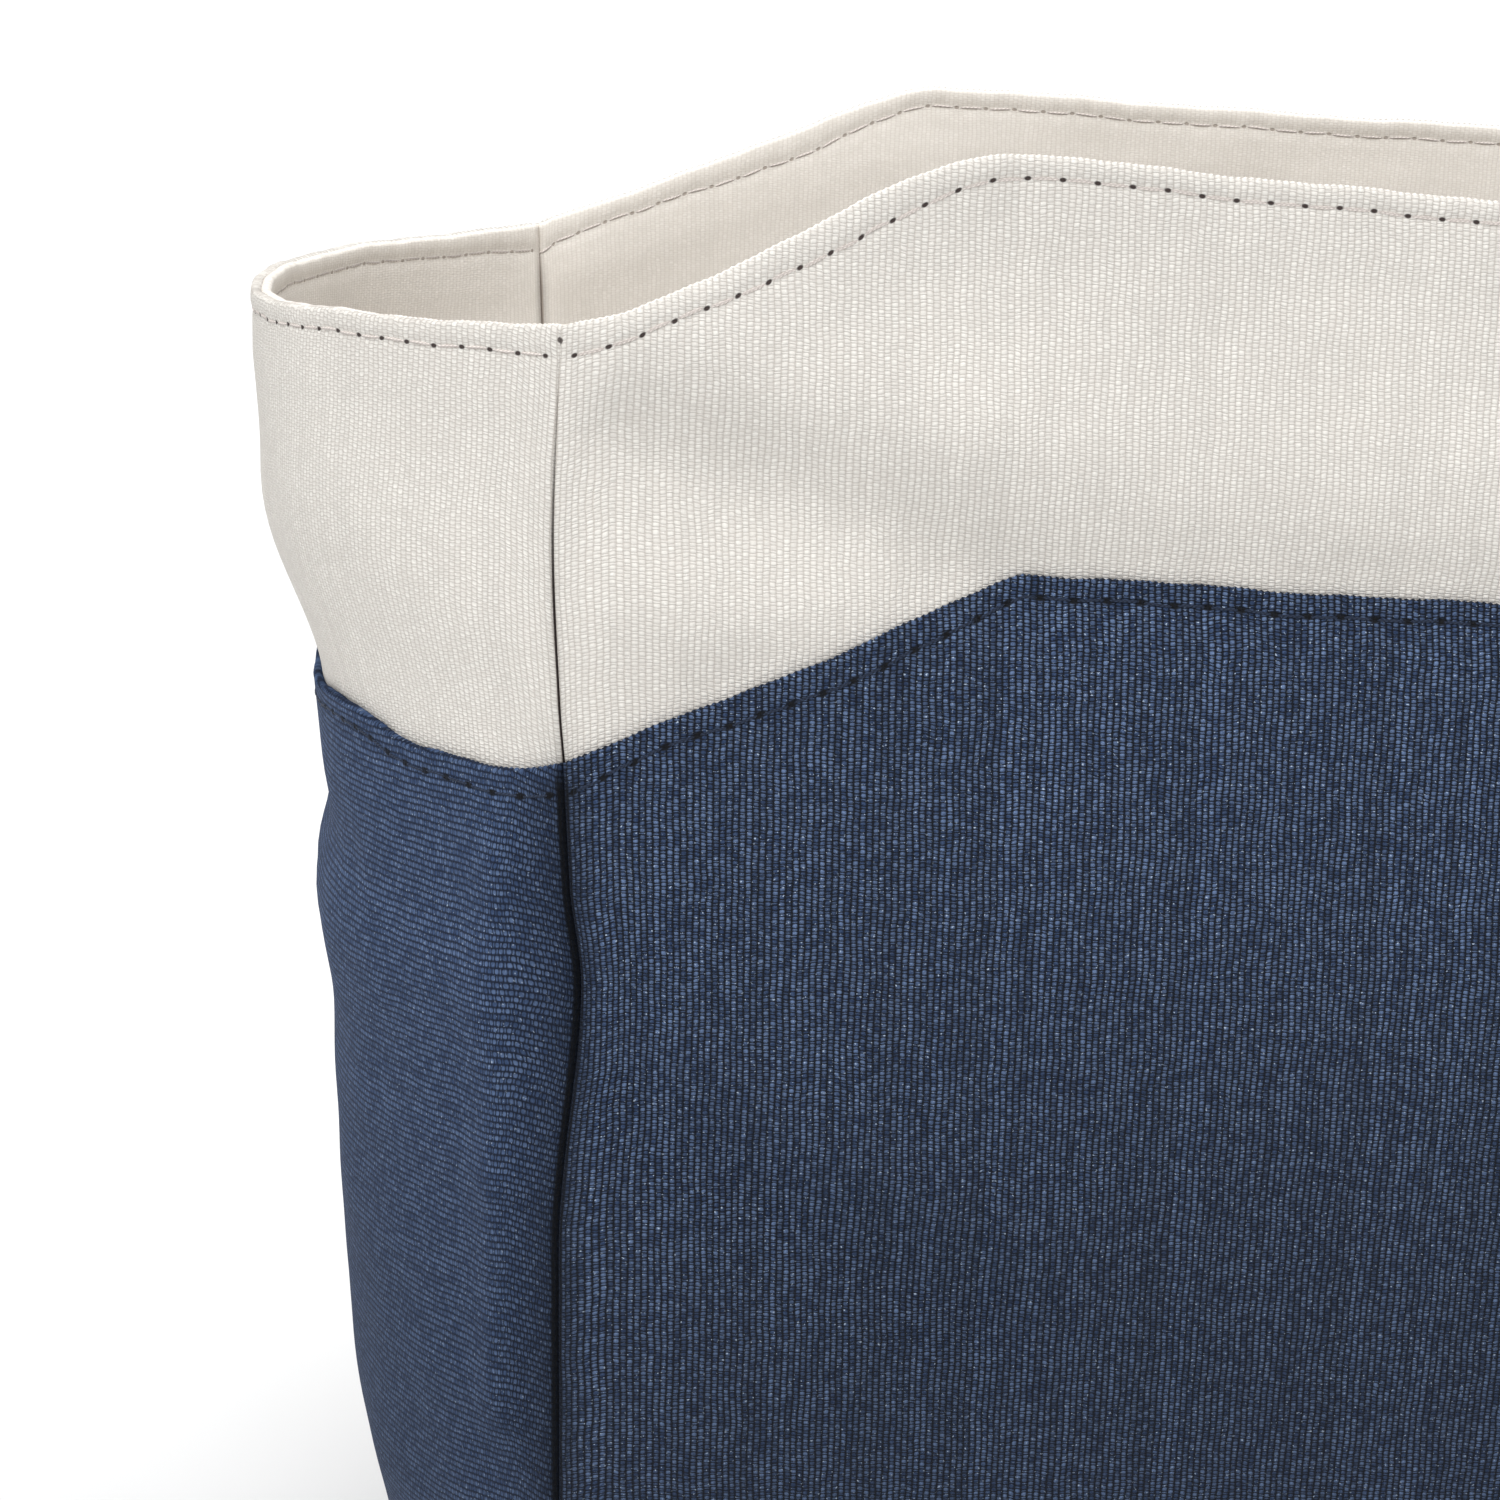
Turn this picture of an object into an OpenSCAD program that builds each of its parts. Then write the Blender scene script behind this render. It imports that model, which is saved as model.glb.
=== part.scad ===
// Soft storage bin in two colours of canvas: a cream band and lining, and a navy lower skin.
// Millimetres. The origin is the middle of the underside, and the front faces -Y.
// The front and back walls are raised in the middle, with a sloping shoulder at each corner.
// The two end walls bulge outwards, which lets their rims dip a little in the middle.
// A stiffened pad lies loose on the floor.

/* [Bin] */
// Width between the corner seams, at the height of the corners
rim_w = 280; // [240:1:320]
// Width between the corner seams, at the floor
base_w = 260; // [220:1:300]
// Depth between the corner seams, the same at every height
seam_d = 118; // [90:1:150]
// Height of the rim at the corners and along the ends
corner_h = 190; // [160:1:240]
// Extra height of the raised front and back rims
rise = 24; // [5:1:40]
// Length of each sloping shoulder of the rim, in from its corner
shoulder = 52; // [30:1:80]
// Length of each sloping shoulder of the navy hem
hem_shoulder = 54; // [30:1:80]
// Sag of the raised rim at its middle
rim_sag = 3; // [0:0.2:4]
// Dip of each end wall's rim at its middle
end_dip = 3; // [0:0.2:4]
// Height of the cream band that shows above the navy hem
band_h = 50; // [30:1:80]

/* [Curve of the walls] */
// Bulge of each end wall at the rim
end_bulge = 38; // [10:1:45]
// Bulge of each end wall at the floor
end_bulge_base = 8; // [0:1:10]
// Roundness of an end wall in plan: 2 is a parabola, and more is squarer
end_shape = 2.5; // [2:0.1:3]
// How far the front and back walls are drawn in at the middle of the rim
side_pinch = 3; // [0:0.5:4]

/* [Cloth] */
// Thickness of the navy canvas
skin_t = 1.2; // [0.8:0.1:1.4]
// Thickness of the cream canvas, in the band and in the lining
canvas_t = 1; // [0.6:0.1:1.2]
// How far the band and the lining overlap behind the navy hem
tuck = 12; // [8:1:16]

/* [Stitching] */
// Distance from a folded edge to its row of stitches
stitch_in = 3.5; // [2.5:0.5:5]
// Width of the sewing thread
thread_w = 0.6; // [0.4:0.1:0.8]
// How far the thread stands out of the cloth
thread_t = 0.4; // [0.2:0.1:0.5]

/* [Base pad] */
// Gap between the loose pad and the walls
pad_gap = 4.2; // [3.8:0.2:8]
// Thickness of the stiffening board
board_t = 2.4; // [1.6:0.2:3]
// Thickness of the pad's cloth sleeve
sleeve_t = 0.8; // [0.6:0.1:1]
// Corner radius of the pad
pad_corner_r = 8; // [4:1:14]

/* [Hidden] */

navy = [0.20, 0.25, 0.34];
cream = [0.88, 0.86, 0.82];
board_grey = [0.55, 0.53, 0.50];
half_rim = rim_w / 2;
half_base = base_w / 2;
half_d = seam_d / 2;
// Position across a raised wall where its shoulder ends: 0 is the middle, and 1 the corner seam
vertex_s = 1 - shoulder / half_rim;
// How the bulge grows with height
bulge_power = 0.55;
// Share of the shoulder's height that rises evenly, the rest in an S curve
even_share = 0.4;
shoulder_cells = 4;
top_cells = 8;
end_cells = 12;
// Heights of the cloth's grid lines up to the tuck, as shares of the way up to it
low_rows = [0.12, 0.3, 0.6, 1];

// Rows of a wall's grid, counted up from the floor
FOOT = 0;
LINING_FOOT = 1;
TUCK = 5;
HEM_THREAD = 6;
HEM = 8;
RIM_THREAD = 10;
RIM = 12;

// Depths of the layers, measured inwards from the navy's outer face
SKIN = [0, skin_t];
BAND = [skin_t, skin_t + canvas_t];
LINING = [skin_t + canvas_t, skin_t + 2 * canvas_t];
HEM_STRAND = [-thread_t, 0];
OUTER_STRAND = [skin_t - thread_t, skin_t];
INNER_STRAND = [LINING[1], LINING[1] + thread_t];

pad_z = skin_t + canvas_t;
pad_w = base_w - 2 * (LINING[1] + pad_gap);
pad_d = seam_d - 2 * (LINING[1] + pad_gap);

// Plan of the walls -------------------------------------------------------------------------

function half_w(z) = half_base + (half_rim - half_base) * z / corner_h;
function end_out(z) = end_bulge_base + (end_bulge - end_bulge_base) * pow(z / corner_h, bulge_power);
function side_in(z) = side_pinch * pow(z / corner_h, 2);
function unit(v) = v / norm(v);

// Inward directions of the front wall, of the left end wall and of the mitre between them
function front_in(s, z) = unit([2 * side_in(z) * s, half_w(z)]);
function end_in(s, z) = unit([half_d, -sign(s) * end_shape * end_out(z) * pow(abs(s), end_shape - 1)]);
function mitre(a, b) = (a + b) / (1 + a * b);
function corner_in(z) = mitre(front_in(-1, z), end_in(-1, z));

// A point of the front wall, from s = -1 at the left seam to 1 at the right, at depth t
front_at = function(s, z, t)
    [s * half_w(z), -half_d + side_in(z) * (1 - s * s)]
    + t * (abs(s) < 1 ? front_in(s, z) : [-s * corner_in(z)[0], corner_in(z)[1]]);

// A point of the left end wall, from s = -1 at the front seam to 1 at the back, at depth t
end_at = function(s, z, t)
    [-half_w(z) - end_out(z) * (1 - pow(abs(s), end_shape)), s * half_d]
    + t * (abs(s) < 1 ? end_in(s, z) : [corner_in(z)[0], -s * corner_in(z)[1]]);

// Heights of the walls ----------------------------------------------------------------------

function eased(t) = even_share * t + (1 - even_share) * t * t * (3 - 2 * t);
function inset_of(s) = (1 - abs(s)) * half_rim;
function on_shoulder(s) = inset_of(s) < shoulder;

raised_rim = function(s) corner_h + (on_shoulder(s)
    ? rise * eased(inset_of(s) / shoulder)
    : rise - rim_sag * (1 - pow(s / vertex_s, 2)));
raised_hem = function(s) corner_h - band_h + rise * min(1, inset_of(s) / hem_shoulder);
end_rim = function(s) corner_h - end_dip * pow(1 - s * s, 1.5);
end_hem = function(s) corner_h - band_h;

function thread_rows(edge) = [for (side = [-1, 1]) edge - stitch_in + side * thread_w / 2];
// Every grid height of one column, from its hem and its rim
function rows(hem, rim) = concat(
    [0, skin_t], [for (share = low_rows) share * (hem - tuck)],
    thread_rows(hem), [hem, (hem + rim) / 2], thread_rows(rim), [rim]);

raised_columns = concat(
    [for (i = [0:shoulder_cells - 1]) -1 + (1 - vertex_s) * i / shoulder_cells],
    [for (i = [0:top_cells]) vertex_s * (2 * i / top_cells - 1)],
    [for (i = [shoulder_cells - 1:-1:0]) 1 - (1 - vertex_s) * i / shoulder_cells]);
end_columns = [for (i = [0:end_cells]) 1 - 2 * i / end_cells];

// Cloth -------------------------------------------------------------------------------------

// A closed sheet between two depths and between two rows of a wall's grid
module cloth(at, columns, hem, rim, depths, low, high) {
    n = len(columns);
    m = high - low + 1;
    points = [
        for (t = depths) for (k = [low:high]) for (s = columns)
            let (z = rows(hem(s), rim(s))[k], p = at(s, z, t)) [p[0], p[1], z]
    ];
    function id(t, k, i) = (t * m + k) * n + i;
    function faces_of(a, b, c, d) = [[a, b, c], [a, c, d]];
    faces = [
        for (k = [0:m - 2]) for (i = [0:n - 2])
            each faces_of(id(0, k, i), id(0, k + 1, i), id(0, k + 1, i + 1), id(0, k, i + 1)),
        for (k = [0:m - 2]) for (i = [0:n - 2])
            each faces_of(id(1, k + 1, i + 1), id(1, k + 1, i), id(1, k, i), id(1, k, i + 1)),
        for (i = [0:n - 2])
            each faces_of(id(0, 0, i), id(0, 0, i + 1), id(1, 0, i + 1), id(1, 0, i)),
        for (i = [0:n - 2])
            each faces_of(id(1, m - 1, i + 1), id(0, m - 1, i + 1), id(0, m - 1, i), id(1, m - 1, i)),
        for (k = [0:m - 2])
            each faces_of(id(1, k + 1, 0), id(0, k + 1, 0), id(0, k, 0), id(1, k, 0)),
        for (k = [0:m - 2])
            each faces_of(id(0, k, n - 1), id(0, k + 1, n - 1), id(1, k + 1, n - 1), id(1, k, n - 1))
    ];
    polyhedron(points = points, faces = faces);
}

module raised_wall(depths, low, high)
    cloth(front_at, raised_columns, raised_hem, raised_rim, depths, low, high);

module end_wall(depths, low, high)
    cloth(end_at, end_columns, end_hem, end_rim, depths, low, high);

// The opposite wall is the same wall turned half round
module opposite() rotate([0, 0, 180]) children();

// A flat floor piece inside the walls' layers, from z to z + t
module floor_cloth(depth, z, t) {
    front = [for (s = raised_columns) if (s < 1) front_at(s, 0, depth)];
    left = [for (s = end_columns) if (s > -1) end_at(s, 0, depth)];
    half = concat([for (p = left) p], front);
    translate([0, 0, z])
        linear_extrude(t)
            polygon(concat(half, [for (p = half) -p]));
}

// Navy outer skin ---------------------------------------------------------------------------

module outer_front_panel() color(navy) raised_wall(SKIN, FOOT, HEM);
module outer_back_panel() color(navy) opposite() raised_wall(SKIN, FOOT, HEM);
module outer_left_panel() color(navy) end_wall(SKIN, FOOT, HEM);
module outer_right_panel() color(navy) opposite() end_wall(SKIN, FOOT, HEM);
module outer_base() color(navy) floor_cloth(SKIN[1], 0, skin_t);

// Cream band, tucked behind the navy hem ----------------------------------------------------

module band_front() color(cream) raised_wall(BAND, TUCK, RIM);
module band_back() color(cream) opposite() raised_wall(BAND, TUCK, RIM);
module band_left() color(cream) end_wall(BAND, TUCK, RIM);
module band_right() color(cream) opposite() end_wall(BAND, TUCK, RIM);

// Cream lining, from the top of the navy base to the rim --------------------------------------

module lining_front() color(cream) raised_wall(LINING, LINING_FOOT, RIM);
module lining_back() color(cream) opposite() raised_wall(LINING, LINING_FOOT, RIM);
module lining_left() color(cream) end_wall(LINING, LINING_FOOT, RIM);
module lining_right() color(cream) opposite() end_wall(LINING, LINING_FOOT, RIM);
module lining_base() color(cream) floor_cloth(LINING[1], skin_t, canvas_t);

// Rows of topstitching, each as its unbroken strand of thread -------------------------------

module hem_stitching_front() color(navy) raised_wall(HEM_STRAND, HEM_THREAD, HEM_THREAD + 1);
module hem_stitching_back() color(navy) opposite() hem_stitching_front();
module hem_stitching_left() color(navy) end_wall(HEM_STRAND, HEM_THREAD, HEM_THREAD + 1);
module hem_stitching_right() color(navy) opposite() hem_stitching_left();

// The rim's needle thread lies on the band, and its bobbin thread on the lining
module rim_stitching_front() color(cream) {
    raised_wall(OUTER_STRAND, RIM_THREAD, RIM_THREAD + 1);
    raised_wall(INNER_STRAND, RIM_THREAD, RIM_THREAD + 1);
}
module rim_stitching_back() color(cream) opposite() rim_stitching_front();
module rim_stitching_left() color(cream) {
    end_wall(OUTER_STRAND, RIM_THREAD, RIM_THREAD + 1);
    end_wall(INNER_STRAND, RIM_THREAD, RIM_THREAD + 1);
}
module rim_stitching_right() color(cream) opposite() rim_stitching_left();

// Loose base pad ----------------------------------------------------------------------------

module pad_outline(inset = 0)
    offset(r = pad_corner_r - inset)
        square([pad_w - 2 * pad_corner_r, pad_d - 2 * pad_corner_r], center = true);

module pad_layer(z, t, inset = 0)
    translate([0, 0, pad_z + z])
        linear_extrude(t)
            pad_outline(inset);

module base_board() color(board_grey) pad_layer(sleeve_t, board_t, sleeve_t);

module pad_sleeve_bottom() color(cream) pad_layer(0, sleeve_t);

module pad_sleeve_top() color(cream) difference() {
    pad_layer(sleeve_t, board_t + sleeve_t);
    pad_layer(0, sleeve_t + board_t, sleeve_t);
}

outer_front_panel();
outer_back_panel();
outer_left_panel();
outer_right_panel();
outer_base();
band_front();
band_back();
band_left();
band_right();
lining_front();
lining_back();
lining_left();
lining_right();
lining_base();
hem_stitching_front();
hem_stitching_back();
hem_stitching_left();
hem_stitching_right();
rim_stitching_front();
rim_stitching_back();
rim_stitching_left();
rim_stitching_right();
base_board();
pad_sleeve_top();
pad_sleeve_bottom();
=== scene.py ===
"""A soft storage bin of cream and navy canvas, cut in four walls and a floor and sewn up the corners.

Every wall has three layers of cloth: a navy skin up to a stitched hem, a cream band that shows above
it, and a lining. Each layer is a closed mesh sheet on one shared wall surface, so that a crease in the
wall goes through all three. Lengths are in millimetres until a mesh is made.
"""
import math
from dataclasses import dataclass, replace

import bpy
import numpy as np
from mathutils import Matrix, Vector


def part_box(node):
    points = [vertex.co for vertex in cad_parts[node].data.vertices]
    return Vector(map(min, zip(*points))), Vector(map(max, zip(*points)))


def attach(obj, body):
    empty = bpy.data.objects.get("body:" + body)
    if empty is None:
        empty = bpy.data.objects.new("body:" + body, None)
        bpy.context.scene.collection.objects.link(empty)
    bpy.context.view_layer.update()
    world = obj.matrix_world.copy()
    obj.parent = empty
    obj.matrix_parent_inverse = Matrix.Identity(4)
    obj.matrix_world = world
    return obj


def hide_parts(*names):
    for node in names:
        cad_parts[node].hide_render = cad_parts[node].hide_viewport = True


MM = 0.001
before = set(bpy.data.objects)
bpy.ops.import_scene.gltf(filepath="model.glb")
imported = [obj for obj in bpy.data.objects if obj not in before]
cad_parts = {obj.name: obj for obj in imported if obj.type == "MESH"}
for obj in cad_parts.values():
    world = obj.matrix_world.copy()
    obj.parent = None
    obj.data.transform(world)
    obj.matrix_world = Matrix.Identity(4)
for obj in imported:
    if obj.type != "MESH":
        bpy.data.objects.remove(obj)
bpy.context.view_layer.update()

# ---------------------------------------------------------------- driving dimensions, as in the CAD
CORNER_H = 190.0          # rim height at the four corner seams
RIM_HALF = 140.0          # half the width between the seams, at the corners' height
BASE_HALF = 130.0
HALF_D = -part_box("outer_front_panel")[0].y / MM
HEM_SAG = 1.3
HEM_RISE = 24.6
HEM_SHOULDER = 54.5
BAND_H = 50.0
END_DIP = 2.8
SIDE_PINCH = 2.6
CORNER_LIFT = 0.8         # the seams' own stiffness holds the rim up a little at each corner
LIFT_REACH_RAISED = 15.0
LIFT_REACH_END = 7.0
EDGE_CALM = 8.0           # how far from a corner seam an edge's unevenness sets in
STITCH = 4.0

# Distance from a folded edge to its row of stitches, by distance from the corner seam
STITCH_INSETS = (0, 12, 36, 54, 60)
STITCH_INS_RAISED = (3.7, 2.7, 3.4, 2.5, 2.5)
STITCH_INS_END = (3.6, 2.9, 2.5, 2.5, 2.5)

# The end walls' bulge, in plan and up their height
END_HEIGHTS = (0.0, 22.0, 46.0, 70.0, 138.0, 164.0, 190.0)
END_BULGES = (8.0, 18.5, 24.8, 26.5, 29.3, 37.0, 37.5)
END_SQUARE_HEIGHTS = (0.0, 70.0, 138.0, 190.0)
END_SQUARENESS = (2.6, 3.0, 3.0, 2.5)

# How far the end walls' hem rises above its corners, by distance from the corner seam
END_HEM_INSETS = (0, 10, 22, 40, 74)
END_HEM_RISES = (0, -1.6, -1.5, 0.9, -1.2)

MITRE_REACH = 4.0         # how far from a corner seam the layers turn towards its mitre

# Depths of the layers, inwards from the navy's outer face
SKIN = (0.0, 1.2)
BAND = (1.2, 2.2)
LINING = (2.2, 3.2)
TUCK = 12.0               # how far the band goes down behind the navy hem

# Weave
RIB = 0.79                # pitch of the warp ribs
FINE_RIB = 0.62           # and of the finer cloth inside
FLOAT = 0.83              # height of one repeat: a warp float, and the weft thread that it dives under
WARP_SHARE = 0.36         # half the share of a repeat where the warp shows
WEFT_SHARE = 0.19
SEAM_PULL = 7.0           # how far from a corner seam the sewing pulls the weft out of level
WEFT_CLIMB = 0.26

# Mesh steps
FINE = 0.5
COARSE = 2.0
HIDDEN_STEP = 4.5
FINE_ZONE = 8.0           # how far below a folded edge the rows stay fine
SEAM_COLUMNS = (0, 0.05, 0.12, 0.22)    # distances from a corner seam of its extra columns
FOLD_STEPS = 6


# ---------------------------------------------------------------- small maths
def smoothstep(t):
    t = np.clip(t, 0, 1)
    return t * t * (3 - 2 * t)


def rounded_ramp(t, soft=0.07):
    """From 0 at t = 0 straight up to 1 at t = 1, where its corner is rounded off."""
    left = 1 - t
    return 1 - (left + np.sqrt(left * left + soft * soft)) / 2


def through(x, xs, ys):
    """A smooth curve through the given points that never overshoots them."""
    xs, ys = np.asarray(xs, float), np.asarray(ys, float)
    slopes = np.diff(ys) / np.diff(xs)
    before, after = slopes[:-1], slopes[1:]
    inner = np.where(before * after > 0, 2 * before * after / (before + after + 1e-12), 0)
    tangents = np.concatenate([slopes[:1], inner, slopes[-1:]])
    i = np.clip(np.searchsorted(xs, x) - 1, 0, len(xs) - 2)
    step = xs[i + 1] - xs[i]
    t = (x - xs[i]) / step
    return (ys[i] * (1 + 2 * t) * (1 - t) ** 2 + ys[i + 1] * t * t * (3 - 2 * t)
            + step * t * (1 - t) * (tangents[i] * (1 - t) - tangents[i + 1] * t))


def spread(value, like):
    """A number repeated to the shape of an array."""
    return value + np.zeros(np.shape(like))


def ripple(x, wavelength, seed, octaves=3):
    """Seeded unevenness from -1 to 1 along a line."""
    phases = np.random.default_rng(seed).uniform(0, 2 * math.pi, octaves)
    total = sum(np.sin(2 * math.pi * x * 2.3 ** k / wavelength + phase) / 1.9 ** k
                for k, phase in enumerate(phases))
    return total / sum(1.9 ** -k for k in range(octaves))


def swell(x, y, wavelength, seed, waves=9):
    """Seeded unevenness from about -1 to 1 over a surface."""
    random = np.random.default_rng(seed)
    total = 0
    for _ in range(waves):
        angle, phase = random.uniform(0, math.pi), random.uniform(0, 2 * math.pi)
        scale = random.uniform(0.7, 1.6)
        along = x * math.cos(angle) + y * math.sin(angle)
        total = total + np.sin(2 * math.pi * scale * along / wavelength + phase)
    return total / math.sqrt(2 * waves)


# ---------------------------------------------------------------- creases
@dataclass
class Crease:
    """A soft fold along a line of (along, height) points on a wall: outwards, or inwards below zero."""
    line: tuple
    width: float
    height: float

    def at(self, along, z):
        nearest = np.full(np.broadcast(along, z).shape, np.inf)
        for (a0, z0), (a1, z1) in zip(self.line[:-1], self.line[1:]):
            da, dz = a1 - a0, z1 - z0
            share = np.clip(((along - a0) * da + (z - z0) * dz) / (da * da + dz * dz), 0, 1)
            nearest = np.minimum(nearest, np.hypot(along - a0 - share * da, z - z0 - share * dz))
        return self.height * np.exp(-((nearest / self.width) ** 2))


FRONT_CREASES = (
    Crease(((-131, 189), (-112, 185), (-92, 181)), 8.5, 1.9),
    Crease(((-80, 180), (-20, 179), (60, 180)), 7.0, 0.6),
    Crease(((-134, 178), (-116, 173), (-99, 168.5)), 5.5, -1.2),
    Crease(((-130, 158), (-112, 159)), 8.5, 1.6),
    Crease(((-93, 164), (-84, 163), (50, 163)), 6.0, -2.1),
    Crease(((-122, 150.5), (-119, 151.5)), 3.5, -0.8),
    Crease(((-97, 203), (-82, 201)), 6.0, -0.5),
    Crease(((-135, 114), (-112, 99), (-82, 86)), 8.0, 1.6),
    Crease(((-137, 106), (-114, 90), (-90, 74)), 7.0, -1.6),
    Crease(((-136, 113.5), (-131, 112)), 3.0, -1.2),
    Crease(((-92, 122), (-40, 112), (60, 112)), 28.0, 2.2),
    Crease(((-84, 44), (60, 40)), 30.0, -2.4),
    Crease(((100, 150), (134, 90)), 11.0, 1.0),
    Crease(((131, 186), (95, 178)), 7.0, 1.1),
)
BACK_CREASES = (
    Crease(((-132, 178), (-96, 184), (-40, 179)), 9.0, 1.1),
    Crease(((-134, 92), (-100, 104), (-64, 98)), 10.0, 1.1),
    Crease(((133, 120), (104, 98), (76, 66)), 9.0, 1.2),
    Crease(((134, 172), (100, 180)), 8.0, 0.9),
    Crease(((20, 60), (70, 48)), 14.0, 0.8),
)
LEFT_CREASES = (
    Crease(((-64.5, 126), (-64, 104), (-64.5, 60)), 4.5, 1.7),
    Crease(((-58, 112), (-20, 110), (24, 112)), 8.0, 1.5),
    Crease(((-30, 122), (20, 123)), 5.0, -0.9),
    Crease(((-56, 60), (-50, 24)), 8.0, 0.9),
)
RIGHT_CREASES = (
    Crease(((-60, 118), (-10, 108), (40, 114)), 9.0, 1.3),
    Crease(((58, 120), (60, 80), (56, 40)), 7.0, 1.2),
    Crease(((-58, 70), (-30, 50)), 9.0, 0.9),
)

CREASE_CALM = 7.0         # creases fade out this close to a corner seam
CREASE_FOOT = 14.0        # and this close to the floor

# How far the corner seams are drawn into the bin, by height, and how far to either side that reaches
SEAM_HEIGHTS = (0, 55, 95, 113, 138, 146, 190)
SEAM_DEPTHS = (1.4, 2.4, 2.8, 3.6, 2.0, 0.6, 0.3)
SEAM_REACH_RAISED = 6.0
SEAM_REACH_END = 11.0

# How far each corner seam wanders to +X on its way up: (height, shift) points, by the corner's quadrant
WANDER_REACH = 9.0
SEAM_WANDER = {
    (-1, -1): ((0, -1.0), (80, -1.1), (113, 1.4), (125, 0.2), (142, -0.2), (166, -1.0), (190, 0)),
    (-1, 1): ((0, 0), (70, 0.6), (120, -0.3), (165, 0.7), (190, 0)),
    (1, -1): ((0, 0), (60, -0.5), (104, 0.7), (150, -0.6), (190, 0)),
    (1, 1): ((0, 0), (80, 0.7), (130, -0.5), (170, 0.4), (190, 0)),
}


# ---------------------------------------------------------------- the walls' shared surface
def half_width(z):
    return BASE_HALF + (RIM_HALF - BASE_HALF) * z / CORNER_H


def end_out(z):
    return through(z, END_HEIGHTS, END_BULGES)


def end_squareness(z):
    return through(z, END_SQUARE_HEIGHTS, END_SQUARENESS)


def side_in(z):
    return SIDE_PINCH * (z / CORNER_H) ** 2


def front_plan(s, z):
    """The front wall's outer face, from s = -1 at the left seam to 1 at the right, and its way in."""
    x, y = s * half_width(z), -HALF_D + side_in(z) * (1 - s * s)
    return x, y, 2 * side_in(z) * s, half_width(z)


def end_plan(s, z):
    """The left wall's outer face, from s = -1 at the front seam to 1 at the back, and its way in."""
    power = end_squareness(z)
    bend = np.abs(s) ** (power - 1)
    x, y = -half_width(z) - end_out(z) * (1 - bend * np.abs(s)), s * HALF_D
    return x, y, spread(HALF_D, s), -np.sign(s) * power * end_out(z) * bend


def unit(x, y):
    size = np.hypot(x, y)
    return x / size, y / size


def end_arc(shares):
    """Distance along an end wall's rim, from its middle, of each share s."""
    x, y, _, _ = end_plan(shares, CORNER_H)
    arc = np.concatenate([[0], np.cumsum(np.hypot(np.diff(x), np.diff(y)))])
    return arc - arc[-1] / 2


END_SHARES = np.linspace(-1, 1, 1601)
END_ARC = end_arc(END_SHARES)


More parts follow.
